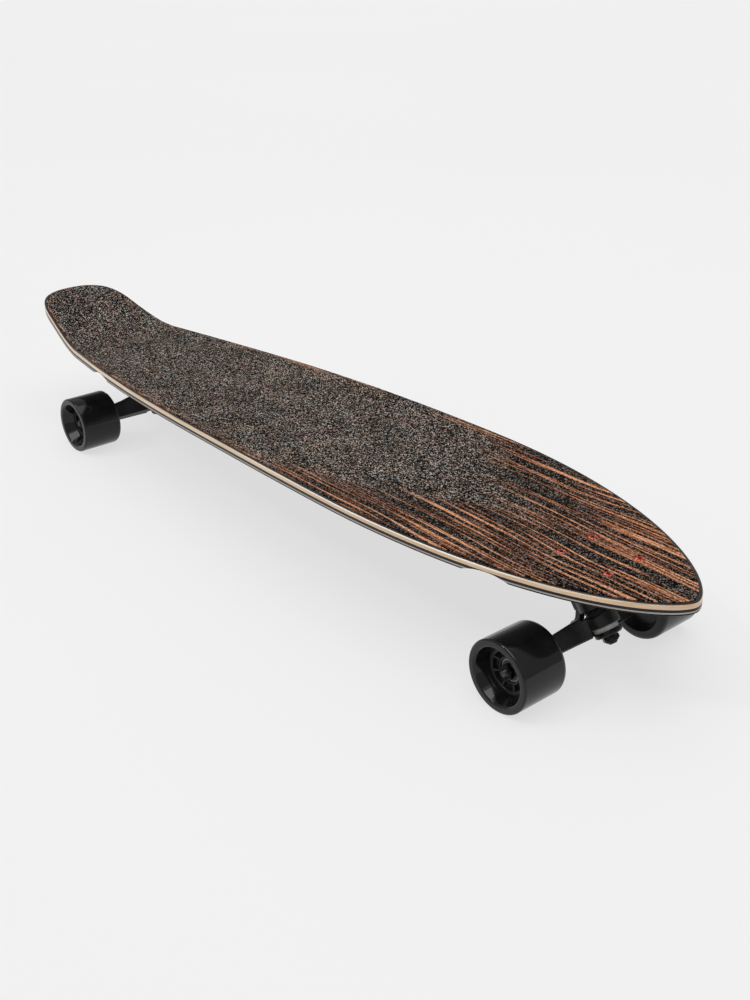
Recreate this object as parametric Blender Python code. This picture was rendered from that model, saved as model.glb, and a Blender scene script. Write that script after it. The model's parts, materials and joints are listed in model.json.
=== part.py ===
# Kicktail longboard: laminated deck with grit top, two reverse-kingpin trucks
# and four 70 mm wheels on 608 bearings.
# Metres, +Z up, +X towards the nose. The origin is on the ground under the
# middle of the deck's length, on the board's centre plane.
import math

import bmesh
import bpy
from mathutils import Matrix, Vector

MM = 0.001

# ---- driving dimensions (millimetres) ----
DECK_LENGTH = 1098.4
DECK_WIDTH = 236.0
DECK_THICK = 10.5
WIDEST_X = 192.5          # station of the widest point, nose side
TAIL_JOINT = (-477.0, 63.4)  # where the squared tail cap meets the long side
TAIL_SLOPE = 0.15
DECK_TOP_MID = 116.1      # height of the top surface at mid wheelbase
CAMBER = 1.6              # drop of the centre line from mid wheelbase to the trucks
CONCAVE_FRONT = 6.7       # rise of the edge at full width, nose half
CONCAVE_TAIL = 1.5        # the same beside the tail truck
KICK_START = -390.0
KICK_RUN = 175.0
KICK_RISE = 41.0
EDGE_ROUND = 1.8
WELL_INBOARD = 41.0       # wheel well centre, inboard of the axle
WELL_RADIUS = 62.0
WELL_DEPTH = 5.2          # at the deck's edge

GRIP_THICK = 0.8
GRIP_MARGIN = 3.6
GAP = 0.3                 # between pieces that touch

WHEELBASE = 775.7
WHEELBASE_MID = 48.2
WHEEL_R = 35.0
WHEEL_IN = 65.3           # inner face of a wheel, from the centre plane
WHEEL_OUT = 117.2
CORE_R = 22.0
BEARING_R = 11.0
BEARING_W = 7.0
BEARING_IN = 76.0         # inner bearing's inner face
BEARING_OUT = 93.0        # outer bearing's inner face
AXLE_R = 4.0
AXLE_END = 109.0
AXLE_NUT = (101.0, 107.2)
HANGER_HALF = 75.0

TRUCK_HEIGHT = 66.0       # axle centre to the top of the baseplate
PLATE_THICK = 5.0
BOLT_OFFSET = 8.4         # bolt pattern's centre, outboard of the axle
BOLT_X = 53.98
BOLT_Y = 41.28
BOLT_R = 2.4
BOLT_HEAD_R = 4.6
KINGPIN_TILT = 39.0       # kingpin from the vertical, degrees
KINGPIN_P = 23.0          # kingpin axis, outboard of the axle, square to it
KINGPIN_R = 4.75
STEER_TILT = 34.2         # steering axis above the horizontal, degrees
STEER_RANGE = 15          # the hanger turns this far each way, degrees
RAKE = 3.6                # the axle lies this far below the steering axis
ROOF = 12.4               # top of the yoke's walls above the axle, along the kingpin
NOSE_R = 4.6              # pivot nose, in its cup
CUP_R = 6.6

COLORS = {
    "deck": ((0.045, 0.03, 0.025), 0.35, 0.0),
    "grip": ((0.09, 0.075, 0.065), 0.8, 0.0),
    "riser": ((0.02, 0.02, 0.02), 0.6, 0.0),
    "truck": ((0.02, 0.02, 0.022), 0.4, 0.5),
    "steel": ((0.35, 0.35, 0.36), 0.3, 1.0),
    "black_steel": ((0.03, 0.03, 0.03), 0.4, 0.8),
    "red_steel": ((0.45, 0.03, 0.02), 0.4, 0.6),
    "bushing": ((0.32, 0.32, 0.30), 0.35, 0.0),
    "urethane": ((0.008, 0.008, 0.009), 0.15, 0.0),
    "core": ((0.015, 0.015, 0.017), 0.3, 0.0),
    "cup": ((0.03, 0.03, 0.03), 0.5, 0.0),
}


# ---- helpers ----
def clear_scene():
    for obj in list(bpy.data.objects):
        bpy.data.objects.remove(obj, do_unlink=True)


def material(name):
    found = bpy.data.materials.get(name)
    if found:
        return found
    color, rough, metal = COLORS[name]
    made = bpy.data.materials.new(name)
    made.use_nodes = True
    shader = made.node_tree.nodes["Principled BSDF"]
    shader.inputs["Base Color"].default_value = (*color, 1.0)
    shader.inputs["Roughness"].default_value = rough
    shader.inputs["Metallic"].default_value = metal
    made.diffuse_color = (*color, 1.0)
    return made


def finish_mesh(bm, name, smooth=35.0):
    bmesh.ops.remove_doubles(bm, verts=bm.verts, dist=1e-7)
    bmesh.ops.recalc_face_normals(bm, faces=bm.faces)
    mesh = bpy.data.meshes.new(name)
    bm.to_mesh(mesh)
    bm.free()
    mesh.shade_smooth()
    mesh.set_sharp_from_angle(angle=math.radians(smooth))
    return mesh


def add(name, mesh, mat, parent=None, loc=(0, 0, 0), rot=(0, 0, 0), helper=False):
    obj = bpy.data.objects.new(name, mesh)
    bpy.context.scene.collection.objects.link(obj)
    if mat and not mesh.materials:
        mesh.materials.append(material(mat))
    obj.parent = parent
    obj.location = Vector(loc) * MM
    obj.rotation_euler = rot
    if helper:
        obj.hide_render = True
        obj.display_type = "WIRE"
    return obj


def empty(name, loc, rot=(0, 0, 0), parent=None):
    obj = bpy.data.objects.new(name, None)
    bpy.context.scene.collection.objects.link(obj)
    obj.parent = parent
    obj.location = Vector(loc) * MM
    obj.rotation_euler = rot
    return obj


def boolean(obj, other, operation="DIFFERENCE"):
    mod = obj.modifiers.new(operation.title() + "_" + other.name, "BOOLEAN")
    mod.object = other
    mod.operation = operation
    mod.solver = "EXACT"


def frame_of(axis):
    """Rotation that takes +Z to the given axis."""
    return Vector((0, 0, 1)).rotation_difference(Vector(axis)).to_matrix().to_4x4()


def turned(profile, sides, closed=True, phase=0.0):
    """Body of revolution about Z from (radius, height) points in mm, as a ring
    when the profile is closed on itself away from the axis."""
    bm = bmesh.new()
    rings = []
    for r, z in profile:
        if r < 1e-6:
            rings.append([bm.verts.new((0, 0, z * MM))])
            continue
        rings.append([
            bm.verts.new((r * MM * math.cos(phase + math.tau * i / sides),
                          r * MM * math.sin(phase + math.tau * i / sides), z * MM))
            for i in range(sides)])
    pairs = list(zip(rings, rings[1:]))
    if closed and len(rings[0]) > 1 and len(rings[-1]) > 1:
        pairs.append((rings[-1], rings[0]))
    for a, b in pairs:
        for i in range(sides):
            j = (i + 1) % sides
            quad = []
            for v in (a[i % len(a)], a[j % len(a)], b[j % len(b)], b[i % len(b)]):
                if v not in quad:
                    quad.append(v)
            if len(quad) > 2:
                bm.faces.new(quad)
    return bm


def move(bm, matrix):
    bmesh.ops.transform(bm, matrix=matrix, verts=bm.verts)
    return bm


def shift(x=0, y=0, z=0):
    return Matrix.Translation((x * MM, y * MM, z * MM))


ALONG_Y = Matrix.Rotation(-math.pi / 2, 4, "X")   # +Z to +Y


def extruded(points, low, high, axis="y"):
    """Prism of a polygon given in mm: (x, z) extruded in y, or (x, y) in z."""
    bm = bmesh.new()
    rows = []
    for end in (low, high):
        if axis == "y":
            rows.append([bm.verts.new((a * MM, end * MM, b * MM)) for a, b in points])
        else:
            rows.append([bm.verts.new((a * MM, b * MM, end * MM)) for a, b in points])
    bm.faces.new(rows[0])
    bm.faces.new(list(reversed(rows[1])))
    for i in range(len(points)):
        j = (i + 1) % len(points)
        bm.faces.new((rows[0][j], rows[0][i], rows[1][i], rows[1][j]))
    return bm


def rounded_rect(x0, x1, y0, y1, radius, steps=4):
    points = []
    for cx, cy, start in ((x1 - radius, y1 - radius, 0), (x0 + radius, y1 - radius, 90),
                          (x0 + radius, y0 + radius, 180), (x1 - radius, y0 + radius, 270)):
        for i in range(steps + 1):
            a = math.radians(start + 90 * i / steps)
            points.append((cx + radius * math.cos(a), cy + radius * math.sin(a)))
    return points


def hexagon_nut(name, across, bore, height, chamfer=0.8):
    """Hex nut about Z, from z = 0 up, its bore round."""
    bm = bmesh.new()
    corner = across / math.sqrt(3)
    sides = 12
    levels = []
    rims = ((corner, 0), (corner, height)) if not chamfer else (
        (corner - chamfer, 0), (corner, chamfer), (corner, height - chamfer), (corner - chamfer, height))
    for r_hex, z in rims:
        ring = []
        for i in range(sides):
            a = math.tau * i / sides
            r = r_hex if i % 2 == 0 else min(r_hex, corner) * math.cos(math.pi / 6)
            ring.append(bm.verts.new((r * MM * math.cos(a), r * MM * math.sin(a), z * MM)))
        levels.append(ring)
    for z in (height, 0):
        levels.append([bm.verts.new((bore * MM * math.cos(math.tau * i / sides),
                                     bore * MM * math.sin(math.tau * i / sides), z * MM))
                       for i in range(sides)])
    for k in range(len(levels)):
        a, b = levels[k], levels[(k + 1) % len(levels)]
        for i in range(sides):
            j = (i + 1) % sides
            bm.faces.new((a[i], a[j], b[j], b[i]))
    return finish_mesh(bm, name, 25.0)


# ---- deck surface ----
def smoothstep(t):
    t = min(max(t, 0.0), 1.0)
    return t * t * (3 - 2 * t)


def bezier(p0, p1, p2, p3, t):
    s = 1 - t
    return tuple(s**3 * a + 3 * s * s * t * b + 3 * s * t * t * c + t**3 * d
                 for a, b, c, d in zip(p0, p1, p2, p3))


def deck_outline():
    """Half outline from the tail's tip to the nose's tip, as (x, half width)."""
    half, wide = DECK_LENGTH / 2, DECK_WIDTH / 2
    jx, jy = TAIL_JOINT
    spans = (
        (((-half, 0), (-half, 56.0), (jx - 24.4, jy - 24.4 * TAIL_SLOPE), (jx, jy)), 6),
        (((jx, jy), (jx + 164.0, jy + 164.0 * TAIL_SLOPE), (WIDEST_X - 356.0, wide), (WIDEST_X, wide)), 12),
        (((WIDEST_X, wide), (WIDEST_X + 263.0, wide), (half, 25.3), (half, 0)), 12),
    )
    points = [(-half, 0.0)]
    for span, count in spans:
        for i in range(1, count + 1):
            t = i / count
            # finer steps towards the pointed ends
            if span[0][1] == 0:
                t = t ** 1.25
            elif span[3][1] == 0:
                t = 1 - (1 - t) ** 1.35
            points.append(bezier(*span, t))
    return points


def top_height(x, y):
    """Height of the deck's top surface in mm."""
    along = (x - WHEELBASE_MID) / (WHEELBASE / 2 + BOLT_OFFSET)
    z = DECK_TOP_MID - CAMBER * along * along
    z += KICK_RISE * smoothstep((KICK_START - x) / KICK_RUN)
    concave = CONCAVE_TAIL + (CONCAVE_FRONT - CONCAVE_TAIL) * smoothstep((x + 350.0) / 400.0)
    return z + concave * (2 * y / DECK_WIDTH) ** 2


def inset_outline(outline, distance):
    """The outline moved inwards along its normals."""
    moved = []
    last = len(outline) - 1
    for i, (x, y) in enumerate(outline):
        if i in (0, last):
            moved.append((x - math.copysign(distance, x), 0.0))
            continue
        (ax, ay), (bx, by) = outline[i - 1], outline[i + 1]
        tx, ty = bx - ax, by - ay
        size = math.hypot(tx, ty)
        moved.append((x + ty / size * distance, y - tx / size * distance))
    return moved


def sheet_body(name, rings, columns):
    """Closed body of deck plan shape. rings runs from the top's rim down the
    edge to the bottom's rim: (inset, drop below the top surface)."""
    outline = deck_outline()
    last = len(outline) - 1
    bm = bmesh.new()
    loops = []
    for distance, drop in rings:
        points = inset_outline(outline, distance)
        z = [top_height(x, y) - drop for x, y in points]
        right = [bm.verts.new((x * MM, -y * MM, h * MM)) for (x, y), h in zip(points, z)]
        left = [right[i] if i in (0, last) else
                bm.verts.new((points[i][0] * MM, points[i][1] * MM, z[i] * MM))
                for i in range(last + 1)]
        loops.append((points, right, left, drop))
    for (_, ra, la, _), (_, rb, lb, _) in zip(loops, loops[1:]):
        for i in range(last):
            for a, b in ((ra, rb), (la, lb)):
                quad = [a[i], a[i + 1], b[i + 1], b[i]]
                bm.faces.new(quad if a is ra else list(reversed(quad)))
    for points, right, left, drop in (loops[0], loops[-1]):
        rows = []
        for i, (x, y) in enumerate(points):
            if i in (0, last):
                rows.append([right[i]])
                continue
            row = [right[i]]
            for c in range(1, columns):
                across = y * (2 * c / columns - 1)
                row.append(bm.verts.new((x * MM, across * MM, (top_height(x, across) - drop) * MM)))
            row.append(left[i])
            rows.append(row)
        for a, b in zip(rows, rows[1:]):
            for c in range(columns):
                quad = []
                for v in (a[min(c, len(a) - 1)], a[min(c + 1, len(a) - 1)],
                          b[min(c + 1, len(b) - 1)], b[min(c, len(b) - 1)]):
                    if v not in quad:
                        quad.append(v)
                if len(quad) > 2:
                    bm.faces.new(quad)
    return finish_mesh(bm, name, 50.0)


# ---- build ----
clear_scene()

FRONT_X = WHEELBASE_MID + WHEELBASE / 2
REAR_X = WHEELBASE_MID - WHEELBASE / 2
TRUCKS = (("front", FRONT_X, 1.0), ("rear", REAR_X, -1.0))
bolt_spots = []
for end, axle_x, out in TRUCKS:
    for sx in (-1, 1):
        for sy in (-1, 1):
            bolt_spots.append((end, axle_x + out * (BOLT_OFFSET + sx * BOLT_X / 2), sy * BOLT_Y / 2))

deck = add("deck", sheet_body("deck", (
    (EDGE_ROUND, 0.0), (0.0, 1.4), (0.0, DECK_THICK - 1.4), (EDGE_ROUND, DECK_THICK)), 6), "deck")
grip = add("grip_tape", sheet_body("grip_tape", (
    (GRIP_MARGIN, -GAP - GRIP_THICK), (GRIP_MARGIN, -GAP)), 6), "grip")

# countersunk holes for the deck bolts, and wider ones through the grit layer
for number, (end, x, y) in enumerate(bolt_spots):
    top = top_height(x, y)
    hole = turned([(0, top + 6), (BOLT_HEAD_R + 0.35, top + 6), (BOLT_HEAD_R + 0.35, top - 0.1),
                   (BOLT_R + 0.35, top - 2.9), (BOLT_R + 0.35, top - 20), (0, top - 20)], 10)
    cutter = add(f"cut_bolt_{number}", finish_mesh(hole, "cut_bolt"), None, loc=(x, y, 0), helper=True)
    boolean(deck, cutter)
    wide = turned([(0, top + 6), (BOLT_HEAD_R + 0.4, top + 6), (BOLT_HEAD_R + 0.4, top - 0.05), (0, top - 0.05)], 10)
    cutter = add(f"cut_grip_{number}", finish_mesh(wide, "cut_grip"), None, loc=(x, y, 0), helper=True)
    boolean(grip, cutter)

# wheel wells: shallow scoops milled in the underside, open at the deck's edge
for end, axle_x, out in TRUCKS:
    for side in (-1, 1):
        x = axle_x - out * WELL_INBOARD
        edge_y = 92.0 if end == "front" else 91.0
        bottom = top_height(x, edge_y) - DECK_THICK
        scoop = turned([(0, -34), (WELL_RADIUS - 26, -34), (WELL_RADIUS - 3, -12), (WELL_RADIUS, 0),
                        (WELL_RADIUS, 40), (0, 40)], 40)
        move(scoop, Matrix.Rotation(-side * math.pi / 2, 4, "X"))
        cutter = add(f"cut_well_{end}_{'left' if side > 0 else 'right'}", finish_mesh(scoop, "cut_well"), None,
                     loc=(x, side * edge_y, bottom + WELL_DEPTH - WELL_RADIUS), helper=True)
        boolean(deck, cutter)


def tilt_frame(parent, name):
    """Frame of the kingpin: +Z up and inboard along it, +X out and up, origin
    at the axle's centre."""
    return empty(name, (0, 0, 0), (0, -math.radians(KINGPIN_TILT), 0), parent)


def steer_frame(parent, name):
    """Frame of the steering axis: +X out and up along it, origin on it above
    the axle."""
    tilt = math.radians(STEER_TILT)
    return empty(name, (-RAKE * math.sin(tilt), 0, RAKE * math.cos(tilt)), (0, -tilt, 0), parent)


def hanger_mesh_parts():
    """Beam with eight-sided sections from end to end, along Y, in the
    kingpin frame: tall outboard face, back sloping down to the axle. Each
    station: (|y|, x low, x high, z low, z high, width of the crown)."""
    stations = (
        (HANGER_HALF, -7.5, 8.5, -6.5, 8.2, 6.0),
        (62.0, -8.0, 9.6, -6.8, 9.8, 5.2),
        (44.0, -8.3, 11.0, -7.0, 11.4, 4.8),
        (27.0, -8.6, 14.0, -7.2, 13.0, 4.6),
        (19.0, -8.8, 18.0, -7.2, 13.8, 4.6),
        (13.0, -9.0, 23.0, -7.2, 14.2, 4.6),
    )
    rows = [(-s[0], *s[1:]) for s in stations] + [s for s in reversed(stations)]
    bm = bmesh.new()
    rings = []
    for y, x0, x1, z0, z1, crown in rows:
        ring = [(x0 + 2.5, z0), (x1 - 1.4, z0), (x1, z0 + 1.4), (x1, z1 - 1.4),
                (x1 - 1.4, z1), (x1 - crown, z1), (x0, z1 * 0.3), (x0, z0 + 2.5)]
        rings.append([bm.verts.new((x * MM, y * MM, z * MM)) for x, z in ring])
    for a, b in zip(rings, rings[1:]):
        for i in range(8):
            j = (i + 1) % 8
            bm.faces.new((a[i], a[j], b[j], b[i]))
    bm.faces.new(rings[0])
    bm.faces.new(list(reversed(rings[-1])))
    return bm


def build_truck(end, axle_x, out):
    root = empty(f"truck_{end}", (axle_x, 0, WHEEL_R), (0, 0, 0 if out > 0 else math.pi))
    fixed = tilt_frame(root, f"kingpin_frame_{end}")
    pivot = steer_frame(root, f"pivot_frame_{end}")
    steer = steer_frame(root, f"steer_{end}")
    # the hanger's own shape is drawn in the kingpin frame
    to_king = {"loc": (0, 0, -RAKE), "rot": (0, math.radians(STEER_TILT - KINGPIN_TILT), 0)}
    moving = empty(f"hanger_frame_{end}", to_king["loc"], to_king["rot"], steer)

    # baseplate: plate, kingpin boss, and the leg that holds the pivot cup
    low = TRUCK_HEIGHT - PLATE_THICK
    plate = extruded(rounded_rect(BOLT_OFFSET - 33, BOLT_OFFSET + 35, -25.5, 25.5, 8), low, TRUCK_HEIGHT, "z")
    baseplate = add(f"baseplate_{end}", finish_mesh(plate, "baseplate"), "truck", root)
    for sx in (-1, 1):
        for sy in (-1, 1):
            hole = turned([(0, low - 9), (BOLT_R + 0.35, low - 9), (BOLT_R + 0.35, low + 20), (0, low + 20)], 10)
            hole = add(f"cut_plate_{end}_{sx}_{sy}", finish_mesh(hole, "cut_plate"), None, root,
                       (BOLT_OFFSET + sx * BOLT_X / 2, sy * BOLT_Y / 2, 0), helper=True)
            boolean(baseplate, hole)
    body = extruded([(-20, low + 2), (-20, 50), (-14.2, 32), (-13.2, 20), (-13.4, 9), (-14.5, 5), (-14.5, -6),
                     (-8.2, -6), (-8.2, 21), (4, 30), (17, 42), (27, low + 2)], -11.2, 11.2)
    body = add(f"cut_body_{end}", finish_mesh(body, "cut_body"), None, root, helper=True)
    # the body narrows to a rib below the boss
    for side in (-1, 1):
        trim = extruded([(-40, 53), (-40, -30), (10, -30), (10, 12), (-4.3, 17.0), (-19, 36), (-19, 53)], *sorted((side * 3.4, side * 30)))
        trim = add(f"cut_rib_{end}_{side}", finish_mesh(trim, "cut_rib"), None, root, helper=True)
        boolean(body, trim)
    boolean(baseplate, body, "UNION")
    boss = turned([(0, 15.9), (14.6, 15.9), (15.6, 16.9), (15.6, 44), (0, 44)], 24)
    boss = add(f"cut_boss_{end}", finish_mesh(boss, "cut_boss"), None, fixed, (KINGPIN_P, 0, 0), helper=True)
    boolean(baseplate, boss, "UNION")
    housing = turned([(0, 6.2), (CUP_R + 1.8, 6.2), (CUP_R + 1.8, 14.6), (CUP_R - 0.2, 16.8), (0, 16.8)], 20)
    housing = move(housing, Matrix.Rotation(-math.pi / 2, 4, "Y"))
    housing = add(f"cut_housing_{end}", finish_mesh(housing, "cut_housing"), None, pivot, helper=True)
    boolean(baseplate, housing, "UNION")
    cup_bore = turned([(0, 0.5), (CUP_R + GAP, 0.5), (CUP_R + GAP, 15.1), (0, 15.1)], 16)
    cup_bore = move(cup_bore, Matrix.Rotation(-math.pi / 2, 4, "Y"))
    cup_bore = add(f"cut_cup_{end}", finish_mesh(cup_bore, "cut_cup"), None, pivot, helper=True)
    boolean(baseplate, cup_bore)
    pin_bore = turned([(0, 5), (5.8, 5), (5.8, 36.5), (0, 36.5)], 20)
    pin_bore = add(f"cut_pin_{end}", finish_mesh(pin_bore, "cut_pin"), None, fixed, (KINGPIN_P, 0, 0), helper=True)
    boolean(baseplate, pin_bore)

    # pivot cup: a thick-walled cap round the hanger's pivot
    inner = NOSE_R + 0.35
    cup = turned([(CUP_R, 6.7), (CUP_R, 14.2), (CUP_R - 0.7, 14.8), (0, 14.8), (0, 13.4), (3.2, 13.1), (inner, 11.0), (inner, 6.7)], 16)
    cup = move(cup, Matrix.Rotation(-math.pi / 2, 4, "Y"))
    add(f"pivot_cup_{end}", finish_mesh(cup, "pivot_cup"), "cup", pivot)

    # kingpin, bushings, cup washers and the lock nut
    pin = turned([(0, -19), (3.9, -19), (KINGPIN_R, -18), (KINGPIN_R, 16.2), (5.5, 16.6), (5.5, 35.4), (4.8, 36.1), (0, 36.1)], 16)
    add(f"kingpin_{end}", finish_mesh(pin, "kingpin"), "black_steel", fixed, (KINGPIN_P, 0, 0))
    bore = KINGPIN_R + GAP
    road = turned([(bore, -8.2), (11.4, -8.2), (11.8, -7.4), (11.9, -4.4), (11.6, -2.0), (bore, -2.0)], 16)
    add(f"bushing_road_{end}", finish_mesh(road, "bushing_road"), "bushing", fixed, (KINGPIN_P, 0, 0))
    board = turned([(bore, 5.3), (11.6, 5.3), (12.2, 6.3), (12.4, 11.6), (12.0, 13.0), (bore, 13.0)], 16)
    add(f"bushing_board_{end}", finish_mesh(board, "bushing_board"), "bushing", fixed, (KINGPIN_P, 0, 0))
    washer = turned([(bore, -11.0), (12.0, -11.0), (13.1, -9.8), (13.1, -5.9), (12.4, -5.9), (12.4, -8.5), (bore, -8.5)], 16)
    add(f"washer_road_{end}", finish_mesh(washer, "washer_road"), "black_steel", fixed, (KINGPIN_P, 0, 0))
    washer = turned([(bore, 13.3), (12.6, 13.3), (12.6, 14.9), (11.9, 15.6), (bore, 15.6)], 16)
    add(f"washer_board_{end}", finish_mesh(washer, "washer_board"), "black_steel", fixed, (KINGPIN_P, 0, 0))
    add(f"kingpin_nut_{end}", hexagon_nut("kingpin_nut", 14.3, bore, 5.8, 0), "black_steel", fixed, (KINGPIN_P, 0, -17.1))

    # hanger: beam, yoke round the kingpin, pivot nose
    hanger = add(f"hanger_{end}", finish_mesh(hanger_mesh_parts(), "hanger"), "truck", moving)

    def king_cutter(label, profile, sides, spot=(KINGPIN_P, 0, 0)):
        return add(f"cut_{label}_{end}", finish_mesh(turned(profile, sides, phase=0.1), f"cut_{label}"), None, moving, spot, helper=True)

    # relieved round the boss, down to a roof line that clears it at full steer
    slope = math.tan(math.radians(STEER_RANGE + 1))
    relief = king_cutter("relief", [(0, 1.0), (20.4, 1.0), (20.4, 30.0), (0, 30.0)], 28)
    half_floor = [(40, 10.3), (17.4, 10.3), (16.8, 8.4), (14.0, ROOF - 0.4 - 14.0 * slope)]
    floor = half_floor + [(0, ROOF - 0.4)] + [(-y, z) for y, z in reversed(half_floor)]
    gable = extruded([(-40, -9), (40, -9)] + floor, -60, 60)
    gable = move(gable, Matrix.Rotation(math.pi / 2, 4, "Z"))
    gable = add(f"cut_gable_{end}", finish_mesh(gable, "cut_gable"), None, moving, (KINGPIN_P, 0, 0), helper=True)
    boolean(relief, gable)
    boolean(hanger, relief)
    boolean(hanger, king_cutter("relief_low", [(0, -30.0), (16.5, -30.0), (16.5, -1.4), (0, -1.4)], 28))
    # the yoke: its walls stand highest fore and aft, and slope down sideways
    yoke = king_cutter("yoke", [(0, -1.7), (15.2, -1.7), (16.0, -0.9), (16.0, ROOF + 3), (0, ROOF + 3)], 32)
    roof = extruded([(-30, ROOF - 30 * slope), (0, ROOF), (30, ROOF - 30 * slope), (30, 30), (-30, 30)], -30, 30)
    roof = move(roof, Matrix.Rotation(math.pi / 2, 4, "Z"))
    roof = add(f"cut_roof_{end}", finish_mesh(roof, "cut_roof"), None, moving, (KINGPIN_P, 0, 0), helper=True)
    boolean(yoke, roof)
    slot = extruded([(-40, 30), (-40, -30), (-5.6, -30), (-5.6, 30)], -11, 11)
    slot = add(f"cut_slot_{end}", finish_mesh(slot, "cut_slot"), None, steer, helper=True)
    boolean(hanger, slot)
    slot = extruded([(-45, 40), (-45, -40), (-5.4, -40), (-5.4, 40)], -11, 11)
    slot = add(f"cut_slot_up_{end}", finish_mesh(slot, "cut_slot_up"), None, moving, rot=(0, math.radians(KINGPIN_TILT), 0), helper=True)
    boolean(hanger, slot)
    boolean(hanger, yoke, "UNION")
    boolean(hanger, king_cutter("seat", [(0, 5.0), (13.2, 5.0), (13.2, 20.0), (0, 20.0)], 24))
    nose = turned([(0, -3.0), (5.6, -3.0), (5.8, 4.6), (NOSE_R, 6.4), (NOSE_R, 10.8), (3.0, 12.7), (0, 13.0)], 16, phase=0.17)
    nose = move(nose, Matrix.Rotation(-math.pi / 2, 4, "Y"))
    nose = add(f"cut_nose_{end}", finish_mesh(nose, "cut_nose"), None, steer, helper=True)
    boolean(hanger, nose, "UNION")
    boolean(hanger, king_cutter("king", [(0, -12), (7.5, -12), (7.5, 16), (0, 16)], 20))
    bore = turned([(0, -90), (AXLE_R + GAP, -90), (AXLE_R + GAP, 90), (0, 90)], 16, phase=0.13)
    bore = add(f"cut_axle_{end}", finish_mesh(move(bore, ALONG_Y), "cut_axle"), None, moving, helper=True)
    boolean(hanger, bore)

    axle = turned([(0, -AXLE_END), (AXLE_R - 0.7, -AXLE_END), (AXLE_R, -AXLE_END + 0.8), (AXLE_R, AXLE_END - 0.8),
                   (AXLE_R - 0.7, AXLE_END), (0, AXLE_END)], 16)
    add(f"axle_{end}", finish_mesh(move(axle, ALONG_Y), "axle"), "steel", moving)
    for side, label in ((1, "left"), (-1, "right")):
        # left and right are the board's, whichever way the truck faces
        local = side * out
        nut = add(f"axle_nut_{end}_{label}", hexagon_nut("axle_nut", 13.0, AXLE_R + GAP, AXLE_NUT[1] - AXLE_NUT[0], 0),
                  "steel", moving, (0, local * AXLE_NUT[0], 0), (-local * math.pi / 2, 0, 0))


def build_wheel(end, axle_x, side, label):
    """One wheel, turned about Y. Heights run outwards from the centre plane."""
    hub = empty(f"wheel_{end}_{label}", (axle_x, 0, WHEEL_R), (-side * math.pi / 2, 0, 0))
    seat = CORE_R + GAP
    tyre = turned([
        (WHEEL_R - 3.8, WHEEL_IN), (WHEEL_R - 1.1, WHEEL_IN + 1.1), (WHEEL_R, WHEEL_IN + 3.8),
        (WHEEL_R, WHEEL_OUT - 1.3), (WHEEL_R - 1.3, WHEEL_OUT), (28.2, WHEEL_OUT),
        (27.0, WHEEL_OUT - 1.2), (seat, WHEEL_OUT - 13.2), (seat, WHEEL_IN + 10.2), (26.0, WHEEL_IN)], 32)
    add(f"tyre_{end}_{label}", finish_mesh(tyre, "tyre", 30), "urethane", hub)
    bore = BEARING_R + GAP
    core = turned([
        (CORE_R, BEARING_IN - 0.4), (CORE_R, 103.8), (18.6, 103.8), (17.6, 98.5), (13.6, 98.5), (13.0, 101.4),
        (bore, 101.4), (bore, BEARING_OUT - GAP), (8.5, BEARING_OUT - GAP), (8.5, BEARING_IN + BEARING_W + GAP),
        (bore, BEARING_IN + BEARING_W + GAP), (bore, BEARING_IN - 0.4)], 24)
    add(f"wheel_core_{end}_{label}", finish_mesh(core, "wheel_core", 30), "core", hub)
    for name, start in (("inner", BEARING_IN), ("outer", BEARING_OUT)):
        race = turned([(AXLE_R + GAP, start), (BEARING_R, start), (BEARING_R, start + BEARING_W), (AXLE_R + GAP, start + BEARING_W)], 16)
        add(f"bearing_{name}_{end}_{label}", finish_mesh(race, "bearing", 30), "steel", hub)


for end, axle_x, out in TRUCKS:
    build_truck(end, axle_x, out)
    for side, label in ((1, "left"), (-1, "right")):
        build_wheel(end, axle_x, side, label)

    # riser pad: flat below, its top follows the deck's underside
    centre = axle_x + out * BOLT_OFFSET
    plate_top = WHEEL_R + TRUCK_HEIGHT
    bm = bmesh.new()
    outline = rounded_rect(-34, 34, -25.5, 25.5, 8)
    grid = [bm.verts.new(((centre + x) * MM, y * MM, (plate_top + GAP) * MM)) for x, y in outline]
    lid = [bm.verts.new(((centre + x) * MM, y * MM, (top_height(centre + x, y) - DECK_THICK - GAP) * MM)) for x, y in outline]
    middle = bm.verts.new((centre * MM, 0, (top_height(centre, 0) - DECK_THICK - GAP) * MM))
    bm.faces.new(grid)
    for i in range(len(outline)):
        j = (i + 1) % len(outline)
        bm.faces.new((grid[i], grid[j], lid[j], lid[i]))
        bm.faces.new((lid[i], lid[j], middle))
    riser = add(f"riser_{end}", finish_mesh(bm, f"riser_{end}"), "riser")
    for number, (which, x, y) in enumerate([s for s in bolt_spots if s[0] == end], 1):
        hole = turned([(0, 80), (BOLT_R + 0.35, 80), (BOLT_R + 0.35, 120), (0, 120)], 10)
        hole = add(f"cut_riser_{end}_{number}", finish_mesh(hole, "cut_riser"), None, loc=(x, y, 0), helper=True)
        boolean(riser, hole)
        head = top_height(x, y) + 0.75
        plate_low = plate_top - PLATE_THICK
        bolt = turned([(0, head), (BOLT_HEAD_R, head), (BOLT_HEAD_R, head - 0.85), (BOLT_R, head - 3.1),
                       (BOLT_R, plate_low - 8.9), (0, plate_low - 8.9)], 10)
        bolt = add(f"bolt_{end}_{number}", finish_mesh(bolt, f"bolt_{end}_{number}"), "red_steel", loc=(x, y, 0))
        recess = turned([(0, head + 1), (1.9, head + 1), (1.9, head - 1.6), (0, head - 1.6)], 6)
        recess = add(f"cut_key_{end}_{number}", finish_mesh(recess, "cut_key"), None, loc=(x, y, 0), helper=True)
        boolean(bolt, recess)
        add(f"bolt_nut_{end}_{number}", hexagon_nut("bolt_nut", 9.5, BOLT_R + GAP, 5.0, 0), "black_steel",
            loc=(x, y, plate_low - GAP - 5.0))
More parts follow.
